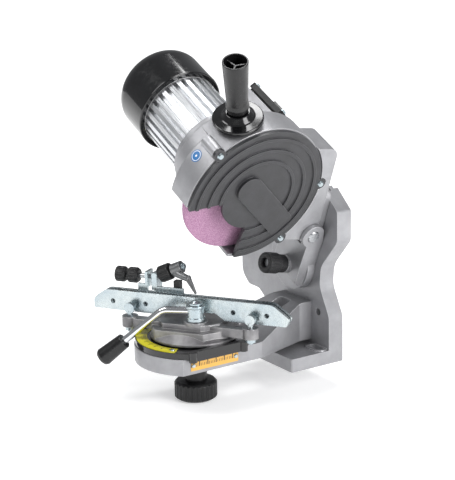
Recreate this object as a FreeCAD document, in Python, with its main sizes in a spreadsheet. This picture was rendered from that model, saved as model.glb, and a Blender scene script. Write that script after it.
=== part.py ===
# Saw-chain bench grinder: wall/bench bracket, tilting and swinging motor head, swivelling chain vice.
# Millimetres, +Z up.  Origin: middle of the two bench-bolt slots on the sole of the foot.
# X runs to the operator's right, -Y towards the operator, and the wall plane is at Y = wall_y.
import FreeCAD, Part
import Sketcher
import math
import os

Vec = FreeCAD.Vector
doc = FreeCAD.newDocument("ChainGrinder")

SIZES = {
    "wall_y": 24.0, "plate_thick": 18.0, "foot_width": 114.0, "foot_depth": 67.0, "foot_thick": 14.5,
    "slot_spacing": 84.0, "slot_length": 20.0, "slot_width": 9.0, "wall_hole_radius": 4.0,
    "ear_depth": 8.0, "arm_high": 42.0, "arm_base": 20.0, "arm_top": 37.0, "arm_radius": 63.0,
    "arm_half": 46.0, "arm_gap": 20.0, "swivel_y": -126.0, "swivel_deg": 35.0, "lever_deg": -77.0,
    "tilt_deg": 26.0, "chain_height": 87.0, "pivot_height": 105.0, "pivot_radius": 8.0,
    "lock_radius": 4.0, "lock_arc": 95.7, "wheel_up": 134.1, "wheel_y": -97.3,
    "hinge_up": 70.0, "hinge_y": -9.2, "hinge_radius": 5.0, "ear_radius": 13.0, "yoke_half": 22.0,
    "wheel_radius": 72.5, "wheel_thick": 4.8, "bore_radius": 11.1, "shaft_radius": 6.0,
    "guard_radius": 77.5, "guard_wall": 3.0, "guard_depth": 30.0, "guard_front": 13.0,
    "cover_radius": 76.0, "cover_thick": 4.0, "rib_height": 1.6,
    "flange_radius": 47.0, "flange_thick": 7.0, "body_radius": 42.0, "body_length": 70.0,
    "fin_count": 28.0, "fin_gap": 4.4, "fin_depth": 5.0, "fan_cover_radius": 48.0,
    "fan_cover_length": 60.0, "box_out": 74.0, "box_length": 56.0, "box_width": 52.0,
    "handle_radius": 12.5, "handle_length": 60.0, "handle_lean": 18.0, "stud_radius": 8.0,
    "knob_radius": 22.5, "knob_height": 20.0, "spacer_radius": 12.0, "rail_thick": 4.0,
    "rail_height": 22.0, "rail_base": 63.5, "rail_gap": 3.0, "pin_radius": 3.0, "pin_reach": 67.0,
    "hub_radius": 9.75, "lever_radius": 4.0, "grip_radius": 9.5, "stop_radius": 8.3,
    "screw_radius": 2.0, "play": 0.05,
}
sheet = doc.addObject("Spreadsheet::Sheet", "dims")
for row, (alias, value) in enumerate(SIZES.items(), start=1):
    sheet.set("A%d" % row, alias)
    sheet.set("B%d" % row, str(value))
    sheet.setAlias("B%d" % row, alias)
doc.recompute()
S = {alias: float(sheet.get(alias)) for alias in SIZES}
parts = []


# ---------------------------------------------------------------- frames
def frame(origin, x_axis, y_axis, z_axis):
    turn = FreeCAD.Rotation(Vec(*x_axis), Vec(*y_axis), Vec(*z_axis), "ZXY")
    return FreeCAD.Placement(Vec(*origin), turn)


def at(base, pos, axis=(0, 0, 1)):
    turn = FreeCAD.Rotation(Vec(0, 0, 1), Vec(*axis))
    return base.multiply(FreeCAD.Placement(Vec(*pos), turn))


tilt = math.radians(S["tilt_deg"])
lean = (math.sin(tilt), 0, math.cos(tilt))
spin = (math.cos(tilt), 0, -math.sin(tilt))
wheel_at = (S["wheel_up"] * lean[0], S["wheel_y"], S["chain_height"] + S["wheel_up"] * lean[2])
WORLD = FreeCAD.Placement()
YOKE = frame((0, 0, S["chain_height"]), (0, 1, 0), lean, spin)
HEAD = frame(wheel_at, (0, 1, 0), lean, spin)
VICE = FreeCAD.Placement(Vec(0, S["swivel_y"], 0), FreeCAD.Rotation(Vec(0, 0, 1), S["swivel_deg"]))
CARRY = FreeCAD.Placement(Vec(0, S["swivel_y"], 0), FreeCAD.Rotation())
hinge_x = S["hinge_y"] - S["wheel_y"]
hinge_up = S["hinge_up"] - S["wheel_up"]
pivot_up = (S["pivot_height"] - S["chain_height"]) * lean[2]
pivot_side = (S["pivot_height"] - S["chain_height"]) * spin[2]


# ---------------------------------------------------------------- building helpers
def bind(obj, **sizes):
    for prop, size in sizes.items():
        if isinstance(size, str):
            obj.setExpression(prop, size)
        else:
            setattr(obj, prop, size)
    return obj


def cylinder(radius, height, place):
    obj = doc.addObject("Part::Cylinder", "Cylinder")
    obj.Placement = place
    return bind(obj, Radius=radius, Height=height)


def box(length, width, height, place):
    obj = doc.addObject("Part::Box", "Box")
    obj.Placement = place
    return bind(obj, Length=length, Width=width, Height=height)


def block(base, low, high):
    size = [b - a for a, b in zip(low, high)]
    return box(size[0], size[1], size[2], at(base, low))


def cone(radius, end_radius, height, place):
    obj = doc.addObject("Part::Cone", "Cone")
    obj.Placement = place
    return bind(obj, Radius1=radius, Radius2=end_radius, Height=height)


def fuse(*shapes):
    obj = doc.addObject("Part::MultiFuse", "Union")
    obj.Shapes = list(shapes)
    return obj


def cut(base, *tools):
    obj = doc.addObject("Part::Cut", "Difference")
    obj.Base = base
    obj.Tool = tools[0] if len(tools) == 1 else fuse(*tools)
    return obj


def name(label, obj):
    obj.Label = label
    parts.append(obj)
    return obj


def body(label, place):
    obj = doc.addObject("PartDesign::Body", "Body")
    obj.Placement = place
    return name(label, obj)


def rounded(points):
    """Closed outline from corners (x, y, corner radius)."""
    edges = []
    ends = []
    count = len(points)
    for i, (x, y, radius) in enumerate(points):
        here = Vec(x, y, 0)
        back = Vec(points[i - 1][0], points[i - 1][1], 0) - here
        on = Vec(points[(i + 1) % count][0], points[(i + 1) % count][1], 0) - here
        half = back.getAngle(on) / 2
        if radius <= 0:
            ends.append((here, here))
            continue
        reach = min(radius / math.tan(half), 0.49 * back.Length, 0.49 * on.Length)
        back.normalize()
        on.normalize()
        start, stop = here + back * reach, here + on * reach
        middle_way = (back + on).normalize()
        true_radius = reach * math.tan(half)
        middle = here + middle_way * (true_radius / math.sin(half) - true_radius)
        edges.append(Part.Arc(start, middle, stop))
        ends.append((start, stop))
    for i in range(count):
        a, b = ends[i][1], ends[(i + 1) % count][0]
        if (b - a).Length > 1e-6:
            edges.append(Part.LineSegment(a, b))
    return edges


def sketch(owner, role, loops, offset=0.0):
    """Sketch on one of the body's origin planes: outlines, and circles (x, y, radius or alias)."""
    obj = owner.newObject("Sketcher::SketchObject", "Sketch")
    plane = [f for f in owner.Origin.OriginFeatures if f.Role == role][0]
    obj.AttachmentSupport = [(plane, "")]
    obj.MapMode = "FlatFace"
    obj.AttachmentOffset = FreeCAD.Placement(Vec(0, 0, offset), FreeCAD.Rotation())
    for loop in loops:
        if isinstance(loop, tuple):
            x, y, radius = loop
            size = S[radius] if isinstance(radius, str) else radius
            index = obj.addGeometry(Part.Circle(Vec(x, y, 0), Vec(0, 0, 1), size), False)
            where = obj.addConstraint(Sketcher.Constraint("Radius", index, size))
            if isinstance(radius, str):
                obj.setExpression("Constraints[%d]" % where, "dims." + radius)
        else:
            for edge in loop:
                obj.addGeometry(edge, False)
    return obj


def extrude(owner, kind, profile, length, reverse=False, middle=False):
    obj = owner.newObject("PartDesign::" + kind, kind)
    obj.Profile = profile
    bind(obj, Length=length)
    obj.Reversed = reverse
    obj.Midplane = middle
    profile.Visibility = False
    doc.recompute()
    return obj


def pad(owner, role, loops, length, offset=0.0, reverse=False, middle=False):
    return extrude(owner, "Pad", sketch(owner, role, loops, offset), length, reverse, middle)


def pocket(owner, role, loops, length, offset=0.0, reverse=False, middle=False):
    before = owner.Shape.Volume
    obj = extrude(owner, "Pocket", sketch(owner, role, loops, offset), length, reverse, middle)
    if not owner.Shape.Volume < before - 0.01:
        raise RuntimeError("pocket removes nothing from " + owner.Label)
    return obj


def around(owner, feature, count):
    """Repeat a feature evenly about the body's own Z axis."""
    obj = owner.newObject("PartDesign::PolarPattern", "PolarPattern")
    obj.Originals = [feature]
    obj.Axis = ([f for f in owner.Origin.OriginFeatures if f.Role == "Z_Axis"][0], [""])
    obj.Angle = 360
    obj.Occurrences = count
    owner.Tip = obj
    doc.recompute()
    return obj


def lathe(label, place, points):
    """Turned piece: closed profile of (radius, height) corners about the body's own Z axis."""
    owner = body(label, place)
    corners = [(p[0], p[1], p[2] if len(p) > 2 else 0) for p in points]
    profile = sketch(owner, "XZ_Plane", [rounded(corners)])
    turn = owner.newObject("PartDesign::Revolution", "Revolution")
    turn.Profile = profile
    turn.ReferenceAxis = (profile, ["V_Axis"])
    turn.Angle = 360
    doc.recompute()
    return owner


def rectangle(x0, y0, x1, y1, radius=0.0):
    return rounded([(x0, y0, radius), (x1, y0, radius), (x1, y1, radius), (x0, y1, radius)])


def slot(x, y, length, width):
    half, end = length / 2, width / 2
    return rounded([(x - half, y - end, end * 0.99), (x + half, y - end, end * 0.99),
                    (x + half, y + end, end * 0.99), (x - half, y + end, end * 0.99)])


def ring_slot(x, y, radius, half_width, start_deg, stop_deg):
    """Curved slot about (x, y), angles counted from +Y towards +X."""
    def point(r, deg):
        return Vec(x + r * math.sin(math.radians(deg)), y + r * math.cos(math.radians(deg)), 0)
    inner, outer = radius - half_width, radius + half_width
    mid = (start_deg + stop_deg) / 2
    cap = math.degrees(half_width / radius)
    return [Part.Arc(point(inner, start_deg), point(inner, mid), point(inner, stop_deg)),
            Part.Arc(point(inner, stop_deg), point(radius, stop_deg + cap), point(outer, stop_deg)),
            Part.Arc(point(outer, stop_deg), point(outer, mid), point(outer, start_deg)),
            Part.Arc(point(outer, start_deg), point(radius, start_deg - cap), point(inner, start_deg))]


def sector(radius, start_deg, stop_deg, inner=0.0):
    """Pie or ring sector about the origin, angles counted from +X towards +Y."""
    def point(r, deg):
        return Vec(r * math.cos(math.radians(deg)), r * math.sin(math.radians(deg)), 0)
    mid = (start_deg + stop_deg) / 2
    edges = [Part.Arc(point(radius, start_deg), point(radius, mid), point(radius, stop_deg))]
    if inner > 0:
        edges.append(Part.LineSegment(point(radius, stop_deg), point(inner, stop_deg)))
        edges.append(Part.Arc(point(inner, stop_deg), point(inner, mid), point(inner, start_deg)))
        edges.append(Part.LineSegment(point(inner, start_deg), point(radius, start_deg)))
    else:
        edges.append(Part.LineSegment(point(radius, stop_deg), Vec(0, 0, 0)))
        edges.append(Part.LineSegment(Vec(0, 0, 0), point(radius, start_deg)))
    return edges


def soften(owner, radius, wanted):
    """Fillet the edges of the body that wanted(edge) accepts."""
    doc.recompute()
    tip = owner.Tip
    names = ["Edge%d" % (i + 1) for i, edge in enumerate(tip.Shape.Edges) if wanted(edge)]
    obj = owner.newObject("PartDesign::Fillet", "Fillet")
    obj.Base = (tip, names)
    obj.Radius = radius
    doc.recompute()
    return obj


def pipe(label, base, points, radius, bend):
    """Round rod along straight runs joined by tangent arcs."""
    corners = [Vec(*p) for p in points]
    edges = []
    last = corners[0]
    for i in range(1, len(corners) - 1):
        here = corners[i]
        back, on = (corners[i - 1] - here).normalize(), (corners[i + 1] - here).normalize()
        half = back.getAngle(on) / 2
        reach = bend / math.tan(half)
        start, stop = here + back * reach, here + on * reach
        middle = here + (back + on).normalize() * (bend / math.sin(half) - bend)
        edges.append(Part.LineSegment(last, start).toShape())
        edges.append(Part.Arc(start, middle, stop).toShape())
        last = stop
    edges.append(Part.LineSegment(last, corners[-1]).toShape())
    path = Part.Wire(edges)
    circle = Part.Wire(Part.Circle(corners[0], corners[1] - corners[0], radius).toShape())
    obj = doc.addObject("Part::Feature", "Rod")
    obj.Shape = path.makePipeShell([circle], True, False)
    obj.Placement = base
    return name(label, obj)


def bolts(base, spots, axis, radius, length, head_radius, head_height):
    """A group of identical round-headed screws, each sunk by its shank length."""
    pieces = []
    for spot in spots:
        low = Vec(*spot) - Vec(*axis) * length
        pieces.append(cylinder(radius, length, at(base, tuple(low), axis)))
        pieces.append(cone(head_radius, head_radius * 0.7, head_height, at(base, spot, axis)))
    return fuse(*pieces)


# ---------------------------------------------------------------- base bracket
front_y = S["wall_y"] - S["plate_thick"]
foot_front = S["wall_y"] - S["foot_depth"]
half_foot = S["foot_width"] / 2
base = body("base_bracket", WORLD)
right_side = [(half_foot, 0, 0), (half_foot, 51, 16), (40.5, 82, 22), (43, 104, 22), (71, 136, 12),
              (71, 168, 6), (46, 190, 10), (37, 207.5, 7)]
left_side = [(0, 218, 70), (-38, 209, 14), (-64, 184, 24), (-105, 122, 30), (-105, 66, 16),
             (-92, 54.5, 9), (-72, 54, 12), (-half_foot, 43, 9), (-half_foot, 0, 0)]
pad(base, "XZ_Plane", [rounded(right_side + left_side)], "dims.plate_thick", offset=-S["wall_y"])
pad(base, "XY_Plane", [rectangle(-half_foot, foot_front, half_foot, front_y + 4, 3)], "dims.foot_thick")
half_slots = S["slot_spacing"] / 2
for side in (-1, 1):
    pad(base, "XY_Plane", [slot(side * half_slots, 0, S["slot_length"] + 7, S["slot_width"] + 7)],
        1.6, offset=S["foot_thick"])
for side in (-1, 1):
    pocket(base, "XY_Plane", [slot(side * half_slots, 0, S["slot_length"], S["slot_width"])], 18,
           offset=-1, reverse=True)
pocket(base, "XZ_Plane", [rectangle(-120, 186, 90, 230)], "dims.ear_depth", offset=-front_y)
pocket(base, "XZ_Plane", [ring_slot(0, S["pivot_height"], S["lock_arc"], 5.4, -20, 25)], 30,
       offset=-S["wall_y"] - 1, reverse=True)
pocket(base, "XZ_Plane", [ring_slot(0, S["pivot_height"], S["lock_arc"], 8.6, -20, 25)], 5.5,
       offset=-S["wall_y"], reverse=True)
pocket(base, "XZ_Plane", [(0, S["pivot_height"], S["pivot_radius"] + S["play"])], 30,
       offset=-S["wall_y"] - 1, reverse=True)
pocket(base, "XZ_Plane", [(0, S["pivot_height"], 16.0)], 9, offset=-S["wall_y"], reverse=True)
pocket(base, "XZ_Plane", [(-38, 53, "wall_hole_radius"), (38, 53, "wall_hole_radius")], 30,
       offset=-S["wall_y"] - 1, reverse=True)

# ---------------------------------------------------------------- support arm
arm = body("support_arm", WORLD)
sy, half = S["swivel_y"], S["arm_half"]
nose = math.sqrt(S["arm_radius"] ** 2 - half ** 2)
sides = [Part.LineSegment(Vec(half, sy - nose, 0), Vec(half, -73, 0)),
         Part.LineSegment(Vec(half, -73, 0), Vec(26, -10, 0)),
         Part.LineSegment(Vec(26, -10, 0), Vec(26, front_y, 0)),
         Part.LineSegment(Vec(26, front_y, 0), Vec(-26, front_y, 0)),
         Part.LineSegment(Vec(-26, front_y, 0), Vec(-26, -10, 0)),
         Part.LineSegment(Vec(-26, -10, 0), Vec(-half, -73, 0)),
         Part.LineSegment(Vec(-half, -73, 0), Vec(-half, sy - nose, 0)),
         Part.Arc(Vec(-half, sy - nose, 0), Vec(0, sy - S["arm_radius"], 0), Vec(half, sy - nose, 0))]
pad(arm, "XY_Plane", [sides], "dims.arm_high", offset=S["arm_base"])
top_cut = [(-220, S["arm_top"], 0), (-72, S["arm_top"], 30), (-9, 62, 20), (20, 62, 0), (20, 80, 0),
           (-220, 80, 0)]
pocket(arm, "YZ_Plane", [rounded(top_cut)], 140, middle=True)
gap = S["arm_gap"] / 2
pocket(arm, "XY_Plane", [rectangle(-gap, sy - 40, gap, -8, 4)], 60, offset=S["arm_base"] - 5, reverse=True)
hollow = rounded([(-38, sy - 32, 8), (-16, sy - 53, 8), (-16, -60, 8), (-38, -80, 8)])
mirror = rounded([(38, sy - 32, 8), (38, -80, 8), (16, -60, 8), (16, sy - 53, 8)])
pocket(arm, "XY_Plane", [hollow, mirror], 11, offset=S["arm_base"], reverse=True)
scale_spots = [(half + 0.6, sy - 31, 29), (half + 0.6, sy + 20, 29)]
scale_holes = [cylinder(1.2, 2, at(WORLD, (half - 0.5, y, z), (1, 0, 0))) for _, y, z in scale_spots]
name("arm_scale", cut(block(WORLD, (half, sy - 34, 23.5), (half + 0.6, sy + 23, 34.5)), *scale_holes))
name("arm_scale_screws", bolts(WORLD, scale_spots, (1, 0, 0), 1.2, 0.6, 2.4, 1.2))

# ---------------------------------------------------------------- tilting yoke
yoke = body("tilt_yoke", YOKE)
span = S["yoke_half"]
rear_x = front_y - 0.3
hx, hy = S["hinge_y"], S["hinge_up"]
pad(yoke, "XY_Plane", [rounded([(rear_x, 0, 3), (rear_x, hy - 8, 2), (hx + 13, hy, 0), (hx - 5, hy, 0),
                                (-14.4, 30, 6), (-13, 4, 8)])], 2 * span, middle=True)
pad(yoke, "YZ_Plane", [(pivot_up, pivot_side, 33.0)], 9, offset=rear_x, reverse=True)
pad(yoke, "XY_Plane", [(hx, hy, "ear_radius")], 2 * span, middle=True)
tongue = rounded([(40, -24, 0), (40, 18, 0), (118, 12, 8), (118, -46, 10), (92, -46, 10), (60, -24, 16)])
pad(yoke, "YZ_Plane", [tongue], 8, offset=rear_x, reverse=True)
boss_lean = math.radians(14.8)
boss_axis = (-math.cos(boss_lean), math.sin(boss_lean), 0)
knob_end = (-44.4, 25.8, 0)
boss = yoke.newObject("PartDesign::AdditiveCylinder", "Boss")
bind(boss, Radius=9.5, Height=20.0)
boss.AttachmentSupport = [([f for f in yoke.Origin.OriginFeatures if f.Role == "XY_Plane"][0], "")]
boss.MapMode = "FlatFace"
boss.AttachmentOffset = FreeCAD.Placement(
    Vec(*knob_end) - Vec(*boss_axis) * 47, FreeCAD.Rotation(Vec(0, 0, 1), Vec(*boss_axis)))
doc.recompute()
pocket(yoke, "XY_Plane", [rounded([(hx - 30, hy - 15.5, 3), (rear_x - 4, hy - 15.5, 3), (rear_x - 4, hy + 40, 0),
                                   (hx - 30, hy + 40, 0)])], 2 * 12.0, middle=True)
pocket(yoke, "XY_Plane", [(hx, hy, S["hinge_radius"] + 0.0)], 80, middle=True)
pocket(yoke, "YZ_Plane", [(pivot_up, pivot_side, "pivot_radius")], 14, offset=rear_x + 1)
pocket(yoke, "YZ_Plane", [(108, -35, S["lock_radius"] + S["play"])], 20, offset=rear_x + 1)
pin_bore = yoke.newObject("PartDesign::SubtractiveCylinder", "PinBore")
bind(pin_bore, Radius=4.05, Height=57.0)
pin_bore.AttachmentSupport = boss.AttachmentSupport
pin_bore.MapMode = "FlatFace"
pin_bore.AttachmentOffset = FreeCAD.Placement(
    Vec(*knob_end) - Vec(*boss_axis) * 45, FreeCAD.Rotation(Vec(0, 0, 1), Vec(*boss_axis)))
doc.recompute()

pivot_spot = (rear_x - 8, pivot_up, pivot_side)
name("tilt_pivot_bolt", fuse(
    cylinder("dims.pivot_radius", 8 + 0.3 + 9.5, at(YOKE, pivot_spot, (1, 0, 0))),
    cylinder(13.0, 6, at(YOKE, (front_y + 9.5, pivot_up, pivot_side), (1, 0, 0)))))
lock_spot = (108, -35)
name("tilt_lock_screw", fuse(
    cylinder("dims.lock_radius", 27, at(YOKE, (-6, *lock_spot), (1, 0, 0))),
    cylinder(11.0, 9, at(YOKE, (-11.5, *lock_spot), (1, 0, 0)))))
name("tilt_lock_nut", cut(
    cylinder(8.0, 4, at(YOKE, (S["wall_y"] - 5.2, *lock_spot), (1, 0, 0))),
    cylinder(S["lock_radius"] + S["play"], 40, at(YOKE, (0, *lock_spot), (1, 0, 0)))))
name("hinge_pin", fuse(
    cylinder("dims.hinge_radius", 2 * span + 1, at(YOKE, (hx, hy, -span - 0.5))),
    cone(7.0, 6.0, 1.2, at(YOKE, (hx, hy, span))),
    cone(7.0, 6.0, 1.2, at(YOKE, (hx, hy, -span), (0, 0, -1)))))

# depth stop: knurled knob turned on the boss, and the stop pin it drives
knob_frame = at(YOKE, knob_end, boss_axis)
depth_knob = lathe("depth_knob", knob_frame, [(5.0, -26.5), (9.8, -26.5, 1), (9.8, -17, 0.8), (11.2, -16, 1),
                                              (11.2, 0, 2.0), (5.5, 0, 0.4), (5.0, -1.5)])
groove = pocket(depth_knob, "XY_Plane", [(11.6, 0, 0.9)], 40, offset=5)
around(depth_knob, groove, 20)
name("depth_stop_pin", cylinder(4.0, 36, at(YOKE, tuple(Vec(*knob_end) - Vec(*boss_axis) * 40), boss_axis)))

# ---------------------------------------------------------------- wheel guard and its arm
guard = body("wheel_guard", HEAD)
gf, gd = S["guard_front"], S["guard_depth"]
gr, gw = S["guard_radius"], S["guard_wall"]
pad(guard, "XY_Plane", [(0, 0, "guard_radius")], "dims.guard_depth", offset=gf, reverse=True)
pad(guard, "XY_Plane", [sector(gr, 85, 131)], 14, offset=gf - gd, reverse=True)
arm_out = rounded([(30, 52, 0), (88, 44, 12), (hinge_x + 6, hinge_up + 18, 8), (hinge_x + 6, hinge_up, 0),
                   (hinge_x - 12, hinge_up - 5, 0), (30, -60, 0)])
pad(guard, "XY_Plane", [arm_out], 38, offset=17, reverse=True)
pocket(guard, "XY_Plane", [(0, 0, gr - gw)], gd - gw + 4, offset=gf + 4)
pocket(guard, "XY_Plane", [(0, 0, gr + 0.3)], 4.0, offset=gf + 4.0)
pocket(guard, "XY_Plane", [sector(140, 182, 262)], 60, offset=gf + 5)
pad(guard, "XY_Plane", [(0, 0, 50.0)], 42, offset=gf - gd + 3, reverse=True)
pocket(guard, "XY_Plane", [(0, 0, 16.2)], 90, offset=10)
pad(guard, "XY_Plane", [(hinge_x, hinge_up, 10.5)], 23.4, middle=True)
pocket(guard, "XY_Plane", [(hinge_x, hinge_up, 13.6)], 20, offset=11.7, reverse=True)
pocket(guard, "XY_Plane", [(hinge_x, hinge_up, 13.6)], 20, offset=-11.7)
pocket(guard, "XY_Plane", [(hinge_x, hinge_up, S["hinge_radius"] + S["play"])], 90, middle=True)
lug_spots = []
for lug_reach, deg in ((gr + 3.5, 135), (gr + 0.5, -52), (gr + 0.5, 2)):
    lug_spots.append((lug_reach * math.cos(math.radians(deg)), lug_reach * math.sin(math.radians(deg))))
pad(guard, "XY_Plane", [(*lug_spots[0], 6.5)], 22, offset=gf, reverse=True)
pocket(guard, "XY_Plane", [(*lug_spots[1], 6.8), (*lug_spots[2], 6.8)], 4, offset=gf + 4)

cover = body("guard_cover", HEAD)
cover_back = gf + 0.1
pad(cover, "XY_Plane", [(0, 0, "cover_radius")], "dims.cover_thick", offset=cover_back)
for x, y in lug_spots:
    pad(cover, "XY_Plane", [(x, y, 6.5)], "dims.cover_thick", offset=cover_back)
cover_face = cover_back + S["cover_thick"]
for radius in (68, 55, 42):
    pad(cover, "XY_Plane", [(0, 0, radius + 1.6), (0, 0, radius - 1.6)], "dims.rib_height", offset=cover_face)
pocket(cover, "XY_Plane", [sector(120, 184, 266, 38)], 20, offset=cover_face + 8)
diagonal = math.sqrt(0.5)
strap = []
for along, across, radius in ((-60, -14, 4), (30, -14, 13.5), (30, 14, 13.5), (-60, 14, 4)):
    strap.append((-(along + across) * diagonal, (along - across) * diagonal, radius))
pad(cover, "XY_Plane", [rounded(strap)], 4.0, offset=cover_face - 0.5)
pocket(cover, "XY_Plane", [(x, y, "screw_radius") for x, y in lug_spots], 10, offset=cover_face + 1)
screw_spots = [(x, y, cover_face) for x, y in lug_spots]
cover_screws = bolts(HEAD, screw_spots, (0, 0, 1), "dims.screw_radius", 4, 3.6, 2.0)

# ---------------------------------------------------------------- motor
flange_z = -58.0
lathe("motor_flange", HEAD, [(16.0, flange_z), (47, flange_z, 1.5), (47, flange_z - S["flange_thick"], 1.5),
                             (34.3, flange_z - S["flange_thick"]), (34.3, flange_z - 12), (16, flange_z - 12)])
body_top = flange_z - S["flange_thick"]
motor = body("motor_housing", HEAD)
pad(motor, "XY_Plane", [(0, 0, "body_radius"), (0, 0, 34.5)], "dims.body_length", offset=body_top - 0.05,
    reverse=True)
fin_gap = pocket(motor, "XY_Plane", [rectangle(S["body_radius"] - S["fin_depth"], -S["fin_gap"] / 2, 60,
                                               S["fin_gap"] / 2)], 90, offset=body_top + 2)
around(motor, fin_gap, int(S["fin_count"]))
soffit = body_top - S["body_length"] - 0.1
fan_end = soffit - S["fan_cover_length"]
lathe("fan_cover", HEAD, [(43, soffit), (48, soffit, 1.5), (48, fan_end, 22), (0, fan_end, 0), (0, fan_end + 3, 0),
                          (45, fan_end + 3, 19), (45, soffit - 8), (43, soffit - 8)])
lathe("stator_core", HEAD, [(24, body_top - 8), (34.4, body_top - 8), (34.4, body_top - 62), (24, body_top - 62)])
lathe("rear_bell", HEAD, [(8.1, soffit), (42.5, soffit), (42.5, soffit - 7), (8.1, soffit - 7)])
bearings = []
for low in (flange_z - 11, soffit + 0.1):
    bearings.append(cut(cylinder(15.9, 9, at(HEAD, (0, 0, low))),
                        cylinder(S["shaft_radius"] + S["play"], 11, at(HEAD, (0, 0, low - 1)))))
name("shaft_bearings", fuse(*bearings))

# spindle: everything that turns with the shaft
lathe("motor_shaft", HEAD, [(0, 12.4), (6, 12.4, 0.8), (6, soffit - 34), (0, soffit - 34)])
lathe("rotor_core", HEAD, [(6, body_top - 10), (23.5, body_top - 10), (23.5, body_top - 60), (6, body_top - 60)])
fan = body("cooling_fan", HEAD)
pad(fan, "XY_Plane", [(0, 0, 12.0), (0, 0, 6.0)], 20, offset=soffit - 12, reverse=True)
blade = pad(fan, "XY_Plane", [rectangle(11, -0.9, 40, 0.9)], 18, offset=soffit - 13, reverse=True)
around(fan, blade, 7)
half_wheel = S["wheel_thick"] / 2
lathe("inner_flange", HEAD, [(6, -half_wheel - 8), (24, -half_wheel - 8), (24, -half_wheel, 0.5), (6, -half_wheel)])
lathe("grinding_wheel", HEAD, [(11.1, -half_wheel), (72.5, -half_wheel, 0.6), (72.5, half_wheel, 0.6),
                               (11.1, half_wheel)])
lathe("outer_flange", HEAD, [(6, -half_wheel), (11, -half_wheel), (11, half_wheel), (24, half_wheel, 0.5),
                             (24, half_wheel + 4), (6, half_wheel + 4)])
lathe("spindle_nut", HEAD, [(6, half_wheel + 4), (10, half_wheel + 4, 0.6), (10, half_wheel + 10.2, 0.6),
                            (6, half_wheel + 10.2)])

# ---------------------------------------------------------------- terminal box with the switch
BOX = HEAD.multiply(FreeCAD.Placement(Vec(0, 0, -22.2), FreeCAD.Rotation(Vec(0, 0, 1), 42)))
bw, bl, bo = S["box_width"] / 2, S["box_length"], S["box_out"]
term = body("terminal_box", BOX)
pad(term, "XY_Plane", [rectangle(30, -bw, bo - 8, bw, 0)], "dims.box_length", reverse=True)
pocket(term, "XY_Plane", [(0, 0, S["body_radius"] + 0.02)], 90, offset=1)
pocket(term, "YZ_Plane", [rectangle(-bw + 3, -bl + 3, bw - 3, -3, 4)], 12, offset=bo - 7)
pocket(term, "XY_Plane", [(0, 0, S["flange_radius"] + 0.02)], 45, offset=1)
pocket(term, "XY_Plane", [(0, 0, 50.02)], 35.2, offset=1)
gasket = body("terminal_gasket", BOX)
pad(gasket, "YZ_Plane", [rectangle(-bw + 1, -bl + 1, bw - 1, -1, 5), rectangle(-bw + 4, -bl + 4, bw - 4, -4, 3)],
    2.0, offset=bo - 8)
lid = body("terminal_lid", BOX)
pad(lid, "YZ_Plane", [rectangle(-bw - 1, -bl - 1, bw + 1, 1, 5)], 6.0, offset=bo - 6)
pocket(lid, "YZ_Plane", [rectangle(-11.2, -39.2, 11.2, -16.8)], 20, offset=bo + 1)
lid_spots = [(bo, across, along) for across in (-bw + 4, bw - 4) for along in (-bl + 4, -4)]
pocket(lid, "YZ_Plane", [(across, along, "screw_radius") for _, across, along in lid_spots], 5, offset=bo + 1)
lid_screws = bolts(BOX, lid_spots, (1, 0, 0), "dims.screw_radius", 4, 3.6, 2.0)
name("head_screws", fuse(cover_screws, lid_screws))
name("switch_bezel", cut(block(BOX, (bo - 7.5, -11.0, -39.0), (bo + 1.2, 11.0, -17.0)),
                         block(BOX, (bo - 5, -7, -36), (bo + 5, 7, -20))))
rocker = body("switch_rocker", BOX)
pad(rocker, "XY_Plane", [rounded([(bo - 3, -6.2, 0.5), (bo + 0.6, -6.6, 0.5), (bo + 1.6, 0, 4), (bo + 4.6, 6.4, 0.5),
                                  (bo - 1.2, 6.4, 0.5)])], 15, offset=-20.5, reverse=True)
name("cable_gland", cut(
    fuse(cylinder(8.0, 8, at(BOX, (bo - 17, -bw, -28), (0, -1, 0))),
         cone(10.0, 8.0, 7, at(BOX, (bo - 17, -bw - 8, -28), (0, -1, 0)))),
    cylinder(3.5, 18, at(BOX, (bo - 17, -bw + 1, -28), (0, -1, 0)))))

# ---------------------------------------------------------------- handle
reach = math.radians(90 + S["handle_lean"])
way = (math.cos(reach), math.sin(reach), 0)
GRIP = at(HEAD, (70 * way[0], 70 * way[1], -12), way)
lathe("handle_flange", GRIP, [(0, 8.2), (13, 8.2, 0), (25, 9, 1), (25, 13, 1.5), (16, 14.5, 3), (12, 20, 1), (0, 20)])
grip = lathe("handle_grip", GRIP, [(0, 20.1), (10, 20.1, 3), (11.5, 27, 3), (10.5, 31, 2), (12.5, 80, 1),
                                   (10.8, 80, 0.5), (10.2, 52, 0), (0, 52)])
rib = pad(grip, "XY_Plane", [rectangle(0, -0.8, 11.4, 0.8)], 24, offset=51)
around(grip, rib, 3)

# ---------------------------------------------------------------- vice carrier on the arm
carrier = body("vice_carrier", CARRY)
deck = S["arm_top"] + 0.05
nose_y = -math.sqrt(62.0 ** 2 - 50.0 ** 2)
plan = [Part.Arc(Vec(50, nose_y, 0), Vec(0, -62, 0), Vec(-50, nose_y, 0)),
        Part.LineSegment(Vec(-50, nose_y, 0), Vec(-46, 10, 0)),
        Part.Arc(Vec(-46, 10, 0), Vec(0, 36, 0), Vec(40, 24.7, 0)),
        Part.LineSegment(Vec(40, 24.7, 0), Vec(50, 24.7, 0)),
        Part.LineSegment(Vec(50, 24.7, 0), Vec(50, nose_y, 0))]
pad(carrier, "XY_Plane", [plan], 6.4, offset=deck)
pad(carrier, "XY_Plane", [rectangle(-9.7, -22, 9.7, 22, 3)], 9, offset=deck, reverse=True)
pad(carrier, "XY_Plane", [rectangle(46.4, -34, 51.6, 27, 1.5)], 10.5, offset=deck - 2.5)
pad(carrier, "XY_Plane", [(50.8, -34, 4.3), (50.8, 27, 4.3)], 10.5, offset=deck - 2.5)
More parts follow.
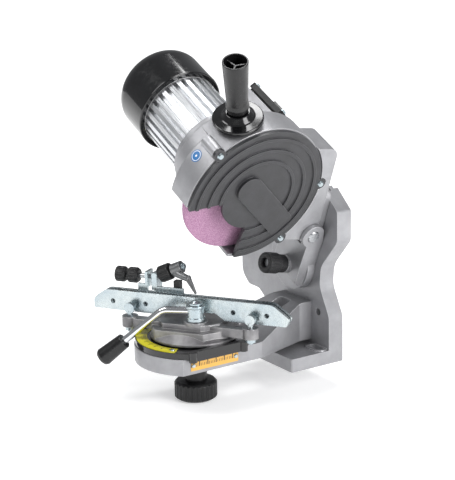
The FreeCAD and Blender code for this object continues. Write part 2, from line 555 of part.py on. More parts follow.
pocket(carrier, "XY_Plane", [(0, 0, "stud_radius")], 40, offset=deck + 10)
scale = body("swivel_scale", CARRY)
pad(scale, "XY_Plane", [sector(61, -150, -52, 49.5)], 0.6, offset=deck + 6.4)
scale_top = deck + 7.0
spots = [(55.2 * math.cos(math.radians(a)), 55.2 * math.sin(math.radians(a)), scale_top) for a in (-146, -56)]
pocket(scale, "XY_Plane", [(x, y, 1.2) for x, y, _ in spots], 3, offset=scale_top + 1)
name("swivel_scale_screws", bolts(CARRY, spots, (0, 0, 1), 1.2, 0.6, 2.4, 1.2))
name("clamp_stud", cylinder("dims.stud_radius", 78, at(CARRY, (0, 0, -16))))
lathe("lock_spacer", CARRY, [(8.05, -4), (12, -4), (12, 19.9), (8.05, 19.9)])
lock_knob = lathe("lock_knob", CARRY, [(8.05, -25), (19, -25, 2), (22.5, -22.5, 1), (22.5, -7.5, 1), (20, -5, 1),
                                       (13, -4.1, 0), (8.05, -4.1)])
flute = pocket(lock_knob, "XY_Plane", [(23.6, 0, 2.0)], 60, offset=10)
around(lock_knob, flute, 24)

# ---------------------------------------------------------------- turret, rails and clamp
turret = body("vice_turret", VICE)
floor = deck + 6.4 + 0.9
profile = [(0, floor, 0), (46, floor, 0.5), (46, floor + 2.5, 0.8), (32, 56, 0), (0, 56, 0)]
turn = turret.newObject("PartDesign::Revolution", "Dish")
turn_sketch = sketch(turret, "XZ_Plane", [rounded(profile)])
turn.Profile = turn_sketch
turn.ReferenceAxis = (turn_sketch, ["V_Axis"])
turn.Angle = 360
doc.recompute()
lower = [(-30, -35, 3), (24, -35, 3), (42, -14, 4), (42, 20, 6), (30, 36, 8), (-30, 36, 8), (-42, 20, 6), (-42, -16, 6)]
pad(turret, "XY_Plane", [rounded(lower)], 56.5 - floor - 1, offset=floor + 1)
upper = [(-25, -27, 4), (17, -27, 4), (33, -11, 5), (33, 14, 6), (20, 27, 6), (-20, 27, 6), (-33, 12, 6), (-33, -15, 5)]
pad(turret, "XY_Plane", [rounded(upper)], 6.0, offset=56)
hub_spot = (9.0, -17.0)
pad(turret, "XY_Plane", [(*hub_spot, 12.5)], 4.2, offset=61)
pr = S["pin_reach"]
pad(turret, "XY_Plane", [rectangle(-pr, -19, pr, -7, 0)], 9, offset=51.5)
pad(turret, "XY_Plane", [(-pr, -13, 8.5), (pr, -13, 8.5)], 11, offset=51)
pocket(turret, "XY_Plane", [(-pr, -13, "pin_radius"), (pr, -13, "pin_radius")], 30, offset=70)
pocket(turret, "XY_Plane", [(0, 0, S["stud_radius"] + S["play"])], 60, offset=80)
pocket(turret, "XY_Plane", [(*hub_spot, 4.0)], 25, offset=80)

rb, rh, rt = S["rail_base"], S["rail_height"], S["rail_thick"]
rail_y = S["rail_gap"] / 2


def rail(label, near_y):
    owner = body(label, VICE)
    shape = [(-112, rb + 1, 2), (-112, rb + 12, 8), (-98, rb + rh, 10), (88, rb + rh, 14), (107, rb + 8, 6),
             (103, rb, 2), (36, rb, 2), (26, rb + 7, 5), (-24, rb + 7, 5), (-34, rb, 2)]
    holes = [(-90, rb + 10, 2.6), (-52.5, rb + 10, 2.6), (45.5, rb + 10, 2.6), (82, rb + 10, 2.6),
             (-pr, 70, S["pin_radius"] + S["play"]), (pr, 70, S["pin_radius"] + S["play"])]
    pad(owner, "XZ_Plane", [rounded(shape)], "dims.rail_thick", offset=-near_y, reverse=True)
    pocket(owner, "XZ_Plane", holes, 40, middle=True)
    return owner


rail("rear_rail", rail_y)
rail("front_rail", -rail_y - rt)
eye = []
for side in (-1, 1):
    eye.append(cylinder("dims.pin_radius", 22, at(VICE, (side * pr, -13, 45))))
    eye.append(cylinder(5.6, 5.0, at(VICE, (side * pr, -15.5, 70), (0, 1, 0))))
name("eye_bolts", fuse(*eye))
nuts = []
for side in (-1, 1):
    nuts.append(cut(cylinder(5.5, 4, at(VICE, (side * pr, -13, 46.9))),
                    cylinder(3.0, 10, at(VICE, (side * pr, -13, 44)))))
name("eye_bolt_nuts", fuse(*nuts))
name("rail_pins", fuse(*[fuse(cylinder("dims.pin_radius", 18.6, at(VICE, (side * pr, -10.5, 70), (0, 1, 0))),
                              cylinder(4.6, 2.5, at(VICE, (side * pr, 5.5, 70), (0, 1, 0))))
                         for side in (-1, 1)]))
name("lever_pivot", fuse(cylinder(4.0, 29, at(VICE, (*hub_spot, 55))),
                         cylinder(7.0, 2, at(VICE, (*hub_spot, 82.2))),
                         cone(5.0, 2.5, 2.4, at(VICE, (*hub_spot, 84.2)))))
LEVER = VICE.multiply(FreeCAD.Placement(Vec(*hub_spot, 0), FreeCAD.Rotation(Vec(0, 0, 1), S["lever_deg"])))
lever_hub = lathe("lever_hub", LEVER, [(4.05, 65.3), (9.75, 65.3, 0.6), (9.75, 69, 0.3), (8.6, 69.5, 0.3),
                                       (8.6, 79, 0.5), (9.75, 79.5, 0.5), (9.75, 82, 0.8), (4.05, 82)])
pocket(lever_hub, "XZ_Plane", [(0, 75.5, "lever_radius")], 10, offset=15)
rod_points = [(0, -5.1, 75.5), (0, -34.0, 75.5), (0, -75.5, 41.3)]
pipe("lever_rod", LEVER, rod_points, S["lever_radius"], 14)
grip_way = (Vec(*rod_points[2]) - Vec(*rod_points[1])).normalize()
lathe("lever_grip", at(LEVER, tuple(Vec(*rod_points[2]) - grip_way * 1.0), tuple(grip_way)),
      [(0, 1.05), (4.5, 1.05, 0), (8.0, 1.05, 1), (9.5, 30, 1.5), (8, 33, 1), (0, 33)])

# ---------------------------------------------------------------- chain stop behind the rails
sz, sy2 = 98.0, 14.0
name("stop_bracket", cut(
    fuse(block(VICE, (-65.5, rail_y + rt, 76), (-54.5, rail_y + rt + 2.5, 92)),
         block(VICE, (-57.5, rail_y + rt, 88), (-54.5, 20, 105))),
    cylinder(2.55, 20, at(VICE, (-62, sy2, sz), (1, 0, 0)))))
name("stop_screw", cylinder(2.5, 44, at(VICE, (-92, sy2, sz), (1, 0, 0))))
for label, low in (("stop_knob_outer", -94.0), ("stop_knob_inner", -79.6)):
    ring = lathe(label, at(VICE, (low, sy2, sz), (1, 0, 0)), [(2.55, 2.2), (8.3, 0.2, 1.2), (8.3, 9.5, 1), (6.5, 12.2, 1),
                                                             (2.55, 12.2)])
    notch = pocket(ring, "XY_Plane", [(8.9, 0, 1.1)], 40, offset=20)
    around(ring, notch, 16)
name("stop_carriage", cut(
    fuse(block(VICE, (-47, rail_y + rt + 0.1, 66), (-14, rail_y + rt + 2.6, 90)),
         block(VICE, (-50, rail_y + rt + 0.1, 86), (-44, 20, 104))),
    cylinder(2.6, 20, at(VICE, (-52, sy2, sz), (1, 0, 0)))))
name("stop_post", block(VICE, (-26, 8.2, 74), (-19, 15.2, 97)))
stop_way = Vec(23, 0, 10).normalize()
STOP = at(VICE, (-43, sy2, 101.0), tuple(stop_way))
knob = lathe("stop_pivot_knob", STOP, [(0, 0), (9, 0, 1.5), (9, 13, 1.5), (5, 14, 0), (0, 14)])
notch = pocket(knob, "XY_Plane", [(9.6, 0, 1.1)], 40, offset=20)
around(knob, notch, 16)
hub_at = Vec(-43, sy2, 101) + stop_way * 15
name("stop_pivot_pin", fuse(cylinder(2.5, 16.5, at(VICE, tuple(hub_at - stop_way), tuple(stop_way))),
                            cylinder(4.0, 2, at(VICE, tuple(hub_at + stop_way * 12.1), tuple(stop_way)))))
elbow, fingertip = Vec(-8.5, 6.5, 101.5), Vec(2.2, 0.8, 88.0)
shoulder = hub_at + stop_way * 4 + Vec(1, -2, -4)
arm_way, tip_way = (elbow - shoulder).normalize(), (fingertip - elbow).normalize()
name("stop_finger", cut(
    fuse(cylinder(6.5, 11.9, at(VICE, tuple(hub_at), tuple(stop_way))),
         cone(4.0, 3.3, (elbow - shoulder).Length + 1.5, at(VICE, tuple(shoulder), tuple(arm_way))),
         cone(3.4, 1.3, (fingertip - elbow).Length + 2, at(VICE, tuple(elbow - tip_way * 2), tuple(tip_way)))),
    cylinder(2.55, 40, at(VICE, (-43, sy2, 101), tuple(stop_way)))))

# ---------------------------------------------------------------- check and write
doc.recompute()
for obj in doc.Objects:
    if "Invalid" in obj.State or "Error" in obj.State:
        raise RuntimeError("%s (%s) failed: %s" % (obj.Name, obj.Label, obj.State))
os.makedirs("parts", exist_ok=True)
for obj in parts:
    if obj.Shape.isNull() or not obj.Shape.isValid():
        raise RuntimeError(obj.Label + " has no valid shape")
    print("%-22s %d solid(s) %9.0f mm3" % (obj.Label, len(obj.Shape.Solids), obj.Shape.Volume))
    obj.Shape.exportStep(os.path.join("parts", obj.Label + ".step"))
print(len(parts), "nodes")
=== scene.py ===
import bpy
import math
from mathutils import Matrix, Vector


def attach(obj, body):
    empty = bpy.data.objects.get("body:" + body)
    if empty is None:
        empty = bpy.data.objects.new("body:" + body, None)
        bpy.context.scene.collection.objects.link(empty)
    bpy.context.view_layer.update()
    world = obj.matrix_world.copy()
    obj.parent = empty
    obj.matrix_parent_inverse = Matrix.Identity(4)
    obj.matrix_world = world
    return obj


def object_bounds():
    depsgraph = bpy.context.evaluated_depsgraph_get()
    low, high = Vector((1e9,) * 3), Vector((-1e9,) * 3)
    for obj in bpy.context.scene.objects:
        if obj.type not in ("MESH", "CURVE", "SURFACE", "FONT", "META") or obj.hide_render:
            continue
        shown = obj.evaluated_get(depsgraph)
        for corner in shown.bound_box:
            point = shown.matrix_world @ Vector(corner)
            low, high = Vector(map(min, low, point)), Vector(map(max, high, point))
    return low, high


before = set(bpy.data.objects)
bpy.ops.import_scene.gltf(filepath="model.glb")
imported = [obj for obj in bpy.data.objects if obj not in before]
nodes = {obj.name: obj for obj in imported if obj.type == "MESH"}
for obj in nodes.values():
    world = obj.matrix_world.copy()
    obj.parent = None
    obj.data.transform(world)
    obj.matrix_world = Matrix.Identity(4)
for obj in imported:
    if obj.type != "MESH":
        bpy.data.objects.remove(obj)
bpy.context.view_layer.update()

bpy.ops.object.select_all(action="DESELECT")

# ---------------------------------------------------------------- directions and centres, in metres
MM = 0.001
TILT = math.radians(26)
CHAIN_HEIGHT = 0.087
WHEEL_UP = 0.1341
WHEEL_Y = -0.0973
LEAN = Vector((math.sin(TILT), 0, math.cos(TILT)))
SPIN = Vector((math.cos(TILT), 0, -math.sin(TILT)))
REAR = Vector((0, 1, 0))
WHEEL = Vector((WHEEL_UP * LEAN.x, WHEEL_Y, CHAIN_HEIGHT + WHEEL_UP * LEAN.z))
SWIVEL = Vector((0, -0.126, 0))


def frame_at(origin, x_axis, y_axis, z_axis):
    """The place and turn of a thing that stands at origin with these three axes."""
    turn = Matrix((x_axis, y_axis, z_axis)).transposed().to_4x4()
    return Matrix.Translation(origin) @ turn


HEAD = frame_at(WHEEL, REAR, LEAN, SPIN)


# ---------------------------------------------------------------- how a finish is built
def linear(code):
    """sRGB hex to the linear colour a shader takes."""
    parts = [int(code[i:i + 2], 16) / 255 for i in (1, 3, 5)]
    return tuple(c / 12.92 if c <= 0.04045 else ((c + 0.055) / 1.055) ** 2.4 for c in parts) + (1.0,)


def add(tree, kind, inputs, **settings):
    """Adds one node: its settings, then each input as a fixed value or as a link."""
    made = tree.nodes.new(kind)
    for key, value in settings.items():
        setattr(made, key, value)
    for key, value in inputs.items():
        if isinstance(value, bpy.types.NodeSocket):
            tree.links.new(value, made.inputs[key])
        else:
            made.inputs[key].default_value = value
    return made


def begin(name, fixed):
    """A new finish, with the shader inputs that are the same all over."""
    finish = bpy.data.materials.new(name)
    finish.use_nodes = True
    tree = finish.node_tree
    shader = tree.nodes["Principled BSDF"]
    for key, value in fixed.items():
        shader.inputs[key].default_value = value
    where = add(tree, "ShaderNodeTexCoord", {}).outputs["Object"]
    return finish, tree, shader, where


def clouded(tree, where, size, dark, pale, detail=3.0, crumble=0.5, reach=0.2):
    """Two close tones in clouds of one size.  A smaller reach sets the two further apart."""
    cloud = add(tree, "ShaderNodeTexNoise", {"Vector": where, "Scale": 1 / size, "Detail": detail,
                                             "Roughness": crumble})
    spread = add(tree, "ShaderNodeMapRange", {"Value": cloud.outputs["Fac"], "From Min": 0.5 - reach,
                                              "From Max": 0.5 + reach})
    tone = add(tree, "ShaderNodeMix", {"Factor": spread.outputs["Result"], "A": linear(dark),
                                       "B": linear(pale)}, data_type="RGBA")
    return tone.outputs["Result"]


def uneven_gloss(tree, shader, where, size, detail, low, high):
    """Roughness that wanders from low to high in patches of one size, and the pattern it follows."""
    patches = add(tree, "ShaderNodeTexNoise", {"Vector": where, "Scale": 1 / size, "Detail": detail})
    gloss = add(tree, "ShaderNodeMapRange", {"Value": patches.outputs["Fac"], "From Min": 0.3,
                                             "From Max": 0.7, "To Min": low, "To Max": high})
    tree.links.new(gloss.outputs["Result"], shader.inputs["Roughness"])
    return patches.outputs["Fac"]


def skin(tree, shader, height, depth, edge):
    """Rounds every edge by edge, raises the surface by depth, and gives the mask of the edges."""
    soft = add(tree, "ShaderNodeBevel", {"Radius": edge}, samples=6)
    bump = add(tree, "ShaderNodeBump", {"Height": height, "Distance": depth, "Strength": 0.7,
                                        "Normal": soft.outputs["Normal"]})
    tree.links.new(bump.outputs["Normal"], shader.inputs["Normal"])
    flat = add(tree, "ShaderNodeNewGeometry", {})
    same = add(tree, "ShaderNodeVectorMath", {0: soft.outputs["Normal"], 1: flat.outputs["Normal"]},
               operation="DOT_PRODUCT")
    mask = add(tree, "ShaderNodeMapRange", {"Value": same.outputs["Value"], "From Min": 0.80,
                                            "From Max": 0.97, "To Min": 1.0, "To Max": 0.0})
    return mask.outputs["Result"]


def cast_metal(name, dark, pale, edge_highlight_tone, metallic, rough, grain, depth, edge):
    """Die-cast or sand-cast aluminium: clouded tone, a sandy skin, and a painted highlight on the rounded
    edges.
    """
    finish, tree, shader, where = begin(name, {"Metallic": metallic, "Roughness": rough})
    tone = clouded(tree, where, 22 * MM, dark, pale, detail=4.0, crumble=0.6, reach=0.15)
    sand = add(tree, "ShaderNodeTexNoise", {"Vector": where, "Scale": 1 / grain, "Detail": 3.0,
                                            "Roughness": 0.65})
    edge_highlight = skin(tree, shader, sand.outputs["Fac"], depth, edge)
    # painted highlight: the rounded edges are mixed towards the lighter edge tone
    rubbed_and_highlit = add(tree, "ShaderNodeMix", {"Factor": edge_highlight, "A": tone, "B": linear(edge_highlight_tone)},
                 data_type="RGBA")
    tree.links.new(rubbed_and_highlit.outputs["Result"], shader.inputs["Base Color"])
    uneven_gloss(tree, shader, where, 3.5 * MM, 3.0, rough - 0.07, rough + 0.08)
    return finish


def moulding(name, deep, pale, edge_highlight_tone, rough, grain, depth, edge, coat=0.0):
    """Injection-moulded plastic: even dye, spark-eroded grain from the tool, and a painted highlight on
    the edges.
    """
    finish, tree, shader, where = begin(name, {"Roughness": rough, "IOR": 1.5, "Coat Weight": coat,
                                               "Coat Roughness": 0.06})
    tone = clouded(tree, where, 16 * MM, deep, pale)
    spark = add(tree, "ShaderNodeTexNoise", {"Vector": where, "Scale": 1 / grain, "Detail": 2.0})
    edge_highlight = skin(tree, shader, spark.outputs["Fac"], depth, edge)
    # painted highlight: the edges are mixed towards the paler edge tone
    tone_with_highlit_edges = add(tree, "ShaderNodeMix", {"Factor": edge_highlight, "A": tone, "B": linear(edge_highlight_tone)},
                  data_type="RGBA")
    tree.links.new(tone_with_highlit_edges.outputs["Result"], shader.inputs["Base Color"])
    uneven_gloss(tree, shader, where, 6 * MM, 3.0, max(rough - 0.05, 0.05), rough + 0.07)
    return finish


def plating(name, cool, warm, rough, cloud_size, metallic=1.0, relief=0.02 * MM):
    """Plated or ground metal: two close tones in soft clouds, and fine rub marks in the gloss."""
    finish, tree, shader, where = begin(name, {"Metallic": metallic, "Roughness": rough})
    tone = clouded(tree, where, cloud_size, cool, warm, detail=4.0, crumble=0.6, reach=0.15)
    tree.links.new(tone, shader.inputs["Base Color"])
    rubs = uneven_gloss(tree, shader, where, 2.2 * MM, 5.0, max(rough - 0.07, 0.03), rough + 0.08)
    skin(tree, shader, rubs, relief, 0.4 * MM)
    return finish


def extruded_fins():
    """Extruded aluminium, mill finish: bright, with die lines about 0.6 mm apart along the motor."""
    finish, tree, shader, where = begin("extruded_aluminium", {"Metallic": 0.9, "Roughness": 0.32})
    along = add(tree, "ShaderNodeMapping", {"Vector": where, "Rotation": (0, -TILT, 0)})
    drawn = add(tree, "ShaderNodeMapping", {"Vector": along.outputs["Vector"], "Scale": (0.02, 1, 1)})
    way = drawn.outputs["Vector"]
    tone = clouded(tree, way, 0.6 * MM, "#C4C6C9", "#E2E3E5", detail=2.0)
    tree.links.new(tone, shader.inputs["Base Color"])
    lines = uneven_gloss(tree, shader, way, 0.6 * MM, 2.0, 0.24, 0.42)
    skin(tree, shader, lines, 0.08 * MM, 0.4 * MM)
    return finish


def wheel_grit():
    """Pink aluminium-oxide wheel, vitrified: open grit of 0.3 mm, drawn at 0.9 mm so that it shows."""
    finish, tree, shader, where = begin("pink_vitrified_oxide", {"Roughness": 0.93})
    body = clouded(tree, where, 12 * MM, "#86587A", "#936887")
    grit = add(tree, "ShaderNodeTexVoronoi", {"Vector": where, "Scale": 1 / (0.9 * MM)})
    grain = add(tree, "ShaderNodeMapRange", {"Value": grit.outputs["Distance"], "From Min": 0.15,
                                             "From Max": 0.75})
    spark = add(tree, "ShaderNodeMix", {"Factor": grain.outputs["Result"], "A": body,
                                        "B": linear("#B890AB")}, data_type="RGBA")
    tree.links.new(spark.outputs["Result"], shader.inputs["Base Color"])
    skin(tree, shader, grit.outputs["Distance"], 0.4 * MM, 0.8 * MM)
    return finish


def knurled_nylon():
    """Black nylon knob with a moulded diamond knurl of 1.6 mm pitch; painted highlight on the facet tops
    and painted shade in the grooves.
    """
    finish, tree, shader, where = begin("knurled_black_nylon", {"Roughness": 0.4, "IOR": 1.5,
                                                                "Base Color": linear("#1A1A1B")})
    across = add(tree, "ShaderNodeMapping", {"Vector": where,
                                             "Rotation": (math.radians(45), math.radians(20), 0)})
    facets = add(tree, "ShaderNodeTexVoronoi", {"Vector": across.outputs["Vector"],
                                                "Scale": 1 / (1.6 * MM), "Randomness": 0.15},
                 distance="CHEBYCHEV")
    # painted shade: each facet is lighter in its middle and darker towards the grooves between facets
    lit = add(tree, "ShaderNodeMapRange", {"Value": facets.outputs["Distance"], "From Min": 0.2,
                                           "From Max": 0.6})
    tone = add(tree, "ShaderNodeMix", {"Factor": lit.outputs["Result"], "A": linear("#262628"),
                                       "B": linear("#0C0C0D")}, data_type="RGBA")
    tree.links.new(tone.outputs["Result"], shader.inputs["Base Color"])
    turned = add(tree, "ShaderNodeMath", {0: 1.0, 1: facets.outputs["Distance"]}, operation="SUBTRACT")
    skin(tree, shader, turned.outputs["Value"], 0.8 * MM, 0.5 * MM)
    return finish


def printed_scale(name, ground, ink, travel_from, pitch, foot, short, tall):
    """Screen-printed aluminium strip: flat coloured ink, with ticks from foot up to short, or to tall."""
    finish, tree, shader, where = begin(name, {"Roughness": 0.32, "Coat Weight": 0.4,
                                               "Coat Roughness": 0.12})
    travel, height = travel_from(tree, where)
    marks = []
    # every fifth tick is taller and thicker; the last number is half its width, as a share of the pitch
    for step, top, width in ((1, short, 0.16), (5, tall, 0.30)):
        phase = add(tree, "ShaderNodeMath", {0: travel, 1: pitch * step / 2}, operation="PINGPONG")
        line = add(tree, "ShaderNodeMath", {0: phase.outputs["Value"], 1: pitch * width},
                   operation="LESS_THAN")
        above = add(tree, "ShaderNodeMath", {0: height, 1: foot}, operation="GREATER_THAN")
        below = add(tree, "ShaderNodeMath", {0: height, 1: top}, operation="LESS_THAN")
        band = add(tree, "ShaderNodeMath", {0: above.outputs["Value"], 1: below.outputs["Value"]},
                   operation="MULTIPLY")
        mark = add(tree, "ShaderNodeMath", {0: line.outputs["Value"], 1: band.outputs["Value"]},
                   operation="MULTIPLY")
        marks.append(mark.outputs["Value"])
    both = add(tree, "ShaderNodeMath", {0: marks[0], 1: marks[1]}, operation="MAXIMUM")
    fade = add(tree, "ShaderNodeTexNoise", {"Vector": where, "Scale": 1 / (5 * MM), "Detail": 3.0})
    hue = add(tree, "ShaderNodeHueSaturation", {"Color": linear(ground), "Value": fade.outputs["Fac"]})
    pale = add(tree, "ShaderNodeMix", {"Factor": 0.88, "A": hue.outputs["Color"], "B": linear(ground)},
               data_type="RGBA")
    inked = add(tree, "ShaderNodeMix", {"Factor": both.outputs["Value"], "A": pale.outputs["Result"],
                                        "B": linear(ink)}, data_type="RGBA")
    tree.links.new(inked.outputs["Result"], shader.inputs["Base Color"])
    return finish


def straight_travel(tree, where):
    """Metres along the arm's side, and up it."""
    axes = add(tree, "ShaderNodeSeparateXYZ", {"Vector": where})
    return axes.outputs["Y"], axes.outputs["Z"]


def swivel_travel(tree, where):
    """Radians round the swivel axis, and metres from it."""
    moved = add(tree, "ShaderNodeVectorMath", {0: where, 1: tuple(SWIVEL)}, operation="SUBTRACT")
    axes = add(tree, "ShaderNodeSeparateXYZ", {"Vector": moved.outputs["Vector"]})
    angle = add(tree, "ShaderNodeMath", {0: axes.outputs["Y"], 1: axes.outputs["X"]},
                operation="ARCTAN2")
    flat = add(tree, "ShaderNodeCombineXYZ", {"X": axes.outputs["X"], "Y": axes.outputs["Y"]})
    reach = add(tree, "ShaderNodeVectorMath", {0: flat.outputs["Vector"]}, operation="LENGTH")
    return angle.outputs["Value"], reach.outputs["Value"]


def vinyl(name, deep, pale):
    """Printed vinyl film: flat ink under a clear gloss, a little uneven where it was rubbed down."""
    finish, tree, shader, where = begin(name, {"Roughness": 0.3, "Coat Weight": 0.5,
                                               "Coat Roughness": 0.1})
    rubbed_and_highlit = add(tree, "ShaderNodeTexNoise", {"Vector": where, "Scale": 1 / (2 * MM), "Detail": 3.0})
    ink = add(tree, "ShaderNodeMix", {"Factor": rubbed_and_highlit.outputs["Fac"], "A": linear(deep),
                                      "B": linear(pale)}, data_type="RGBA")
    tree.links.new(ink.outputs["Result"], shader.inputs["Base Color"])
    return finish


# ---------------------------------------------------------------- the finishes
# castings: dark and pale tones, painted edge highlight tone, metallic, roughness, then sand grain, its
# relief, edge radius
silver = cast_metal("silver_lacquer_on_casting", "#98989B", "#A4A4A7", "#CDCDCF", 0.55, 0.40,
                    1.1 * MM, 0.22 * MM, 1.2 * MM)
raw_cast = cast_metal("tumbled_raw_casting", "#7C7B7D", "#A2A1A2", "#CFCFCF", 0.85, 0.42,
                      0.9 * MM, 0.4 * MM, 0.9 * MM)
finger_grey = cast_metal("grey_steel_casting", "#6E6F70", "#838485", "#A5A6A7", 0.8, 0.38,
                         1.0 * MM, 0.3 * MM, 0.7 * MM)
fins = extruded_fins()
# mouldings: deep and pale tones, painted edge highlight tone, roughness, then tool grain, its relief,
# edge radius, gloss coat
cover_black = moulding("charcoal_nylon_cover", "#2A2A2C", "#323235", "#5E5E61", 0.36,
                       1.0 * MM, 0.14 * MM, 0.8 * MM)
gloss_black = moulding("gloss_black_shell", "#0A0A0B", "#101012", "#2A2A2C", 0.13,
                       4.0 * MM, 0.03 * MM, 0.8 * MM, 0.4)
knob_black = moulding("black_glass_filled_nylon", "#0B0B0C", "#121213", "#2E2E30", 0.40,
                      0.8 * MM, 0.14 * MM, 0.6 * MM)
grip_black = moulding("black_satin_grip", "#121213", "#1A1A1B", "#353537", 0.30,
                      1.2 * MM, 0.1 * MM, 0.6 * MM)
rubber = moulding("black_rubber_seal", "#0E0E0F", "#141414", "#222222", 0.75,
                  0.7 * MM, 0.1 * MM, 0.5 * MM)
knurled = knurled_nylon()
zinc = plating("bright_zinc_plate", "#AAB7BD", "#C2CACB", 0.27, 25 * MM, 0.95, 0.006 * MM)
chrome = plating("polished_chrome", "#D9DBDE", "#E6E7E8", 0.08, 20 * MM)
steel = plating("ground_steel", "#A9ABAE", "#BCBEC0", 0.28, 10 * MM)
copper = plating("lacquered_copper_wire", "#9C5A30", "#B8703E", 0.4, 4 * MM)
wheel_pink = wheel_grit()
yellow = printed_scale("yellow_printed_scale", "#E3DA00", "#17170C", swivel_travel, math.radians(2),
                       50.0 * MM, 53.5 * MM, 56.0 * MM)
orange = printed_scale("orange_printed_scale", "#E8B24C", "#2A2010", straight_travel, 2.0 * MM,
                       27.5 * MM, 30.5 * MM, 32.5 * MM)

worn_by = (
    (silver, ("base_bracket", "support_arm", "tilt_yoke", "wheel_guard", "terminal_box",
              "motor_flange")),
    (raw_cast, ("vice_turret", "rear_bell")),
    (finger_grey, ("stop_finger",)),
    (fins, ("motor_housing",)),
    (cover_black, ("guard_cover",)),
    (gloss_black, ("fan_cover", "vice_carrier", "handle_flange", "switch_rocker")),
    (knob_black, ("terminal_lid", "switch_bezel", "cable_gland", "lock_spacer", "lock_knob",
                  "stop_knob_outer", "stop_knob_inner", "stop_pivot_knob", "stop_post", "cooling_fan",
                  "tilt_lock_screw")),
    (grip_black, ("handle_grip", "lever_grip")),
    (knurled, ("depth_knob",)),
    (rubber, ("terminal_gasket",)),
    (zinc, ("rear_rail", "front_rail", "eye_bolts", "eye_bolt_nuts", "rail_pins", "stop_bracket",
            "stop_carriage", "arm_scale_screws", "swivel_scale_screws", "head_screws", "lever_hub",
            "lever_pivot", "tilt_pivot_bolt", "tilt_lock_nut", "stop_pivot_pin")),
    (chrome, ("lever_rod",)),
    (steel, ("clamp_stud", "depth_stop_pin", "stop_screw", "spindle_nut", "inner_flange", "outer_flange",
             "hinge_pin", "motor_shaft", "rotor_core", "shaft_bearings")),
    (copper, ("stator_core",)),
    (wheel_pink, ("grinding_wheel",)),
    (yellow, ("swivel_scale",)),
    (orange, ("arm_scale",)),
)
for finish, names in worn_by:
    for node_name in names:
        data = nodes[node_name].data
        data.materials.clear()
        data.materials.append(finish)

# ---------------------------------------------------------------- round sticker on the guard's drum
DRUM_RADIUS = 0.0775
STICKER_AT = math.radians(147.5)
STICKER_BACK = -0.0080
STICKER_RADIUS = 0.0062
RING_WIDTHS = (0.0009, 0.0007, 0.0012, 0.0012, 0.0010)
WHITE_RING = (0.0046, 0.0054)
WHITE_DOT = 0.0012
FILM_THICK = 0.0002
FILM_LIFT = 0.0001


def round_sticker():
    """A disc of film inset into rings, given its thickness, then laid round the drum."""
    bpy.ops.object.select_all(action="DESELECT")
    bpy.ops.mesh.primitive_circle_add(vertices=48, radius=STICKER_RADIUS, fill_type="NGON")
    film = bpy.context.object
    film.name = "guard_sticker"
    bpy.ops.object.mode_set(mode="EDIT")
    bpy.ops.mesh.select_all(action="SELECT")
    for ring in RING_WIDTHS:
        bpy.ops.mesh.inset(thickness=ring, depth=0)
    bpy.ops.object.mode_set(mode="OBJECT")
    film.data.materials.append(vinyl("blue_sign_vinyl", "#1668A8", "#1F78BC"))
    film.data.materials.append(vinyl("white_sign_vinyl", "#E9ECEE", "#F5F6F7"))
    for face in film.data.polygons:
        reach = Vector(face.center).length
        face.material_index = int(WHITE_RING[0] < reach < WHITE_RING[1] or reach < WHITE_DOT)
    thick = film.modifiers.new("film", "SOLIDIFY")
    thick.thickness = FILM_THICK
    thick.offset = 1
    bpy.ops.object.modifier_apply(modifier="film")
    for point in film.data.vertices:
        turn = STICKER_AT - point.co.x / DRUM_RADIUS
        radius = DRUM_RADIUS + FILM_LIFT + point.co.z
        around = (radius * math.cos(turn), radius * math.sin(turn), STICKER_BACK - point.co.y)
        point.co = HEAD @ Vector(around)
    bpy.ops.object.mode_set(mode="EDIT")
    bpy.ops.mesh.select_all(action="SELECT")
    bpy.ops.mesh.normals_make_consistent(inside=False)
    bpy.ops.object.mode_set(mode="OBJECT")
    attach(film, "head")


round_sticker()

# ---------------------------------------------------------------- floor and air
FLOOR_SIZE = 16
FLOOR_GAP = 0.0005
AIR_STRENGTH = 0.32
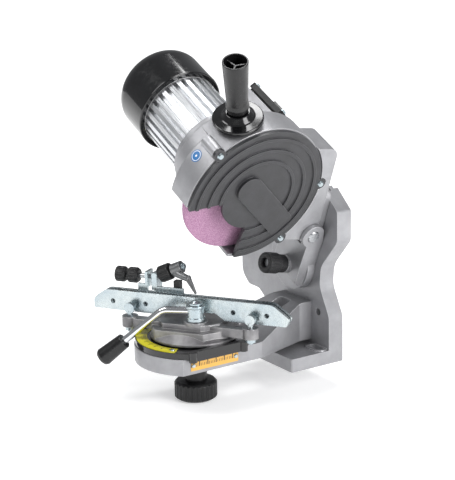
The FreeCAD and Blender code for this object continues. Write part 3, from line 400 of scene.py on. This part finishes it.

# white paper that glows as painted light: dimmer round the machine as painted shade, and brighter away
# from it, so that it shows no horizon
bpy.ops.mesh.primitive_plane_add(size=FLOOR_SIZE, location=(0, 0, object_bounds()[0][2] - FLOOR_GAP))
floor = bpy.context.object
floor.name = "floor"
paper, tree, shader, where = begin("white_paper_sweep", {"Base Color": linear("#F2F2F2"),
                                                         "Roughness": 0.9,
                                                         "Emission Color": linear("#FFFFFF")})
away = add(tree, "ShaderNodeVectorMath", {0: where}, operation="LENGTH")
glow = add(tree, "ShaderNodeMapRange", {"Value": away.outputs["Value"], "From Min": 0.25,
                                        "From Max": 1.3, "To Min": 0.42, "To Max": 0.95})
tree.links.new(glow.outputs["Result"], shader.inputs["Emission Strength"])
floor.data.materials.append(paper)

world = bpy.data.worlds.new("studio")
world.use_nodes = True
air = world.node_tree.nodes["Background"]
air.inputs["Color"].default_value = linear("#F2F4F7")
air.inputs["Strength"].default_value = AIR_STRENGTH
bpy.context.scene.world = world
bpy.context.scene.view_settings.view_transform = "Standard"

# ---------------------------------------------------------------- lights
MIDDLE = Vector((0.0089, -0.0888, 0.1412))


def softbox(name, direction, distance, width, height, watts):
    """A rectangular light that faces the middle of the machine from one direction."""
    lamp = bpy.data.lights.new(name, "AREA")
    lamp.shape = "RECTANGLE"
    lamp.energy = watts
    lamp.size = width
    lamp.size_y = height
    holder = bpy.data.objects.new(name, lamp)
    bpy.context.scene.collection.objects.link(holder)
    holder.location = MIDDLE + Vector(direction).normalized() * distance
    holder.rotation_euler = (MIDDLE - holder.location).to_track_quat("-Z", "Y").to_euler()


softbox("right_softbox", (1.0, 0.25, 0.40), 1.5, 0.7, 1.0, 17)
softbox("front_left_softbox", (-0.25, -0.9, 1.1), 1.6, 0.6, 0.9, 10)
softbox("top_strip", (-0.1, 0.15, 1.0), 1.3, 0.35, 0.9, 9)

# ---------------------------------------------------------------- camera, a long lens
AZIMUTH = math.radians(33.36)
RISE = math.radians(14.6)
ROLL = math.radians(-1.03)
EYE_DISTANCE = 1.5
FOCAL_LENGTH = 109.05

forward = Vector((-math.cos(RISE) * math.cos(AZIMUTH), math.cos(RISE) * math.sin(AZIMUTH),
                  -math.sin(RISE)))
level = Vector((math.sin(AZIMUTH), math.cos(AZIMUTH), 0))
upright = level.cross(forward)
right = level * math.cos(ROLL) + upright * math.sin(ROLL)
up = upright * math.cos(ROLL) - level * math.sin(ROLL)
lens = bpy.data.cameras.new("camera")
lens.lens = FOCAL_LENGTH
lens.clip_start = 0.05
eye = bpy.data.objects.new("camera", lens)
bpy.context.scene.collection.objects.link(eye)
eye.matrix_world = frame_at(MIDDLE - forward * EYE_DISTANCE, right, up, -forward)
bpy.context.scene.camera = eye
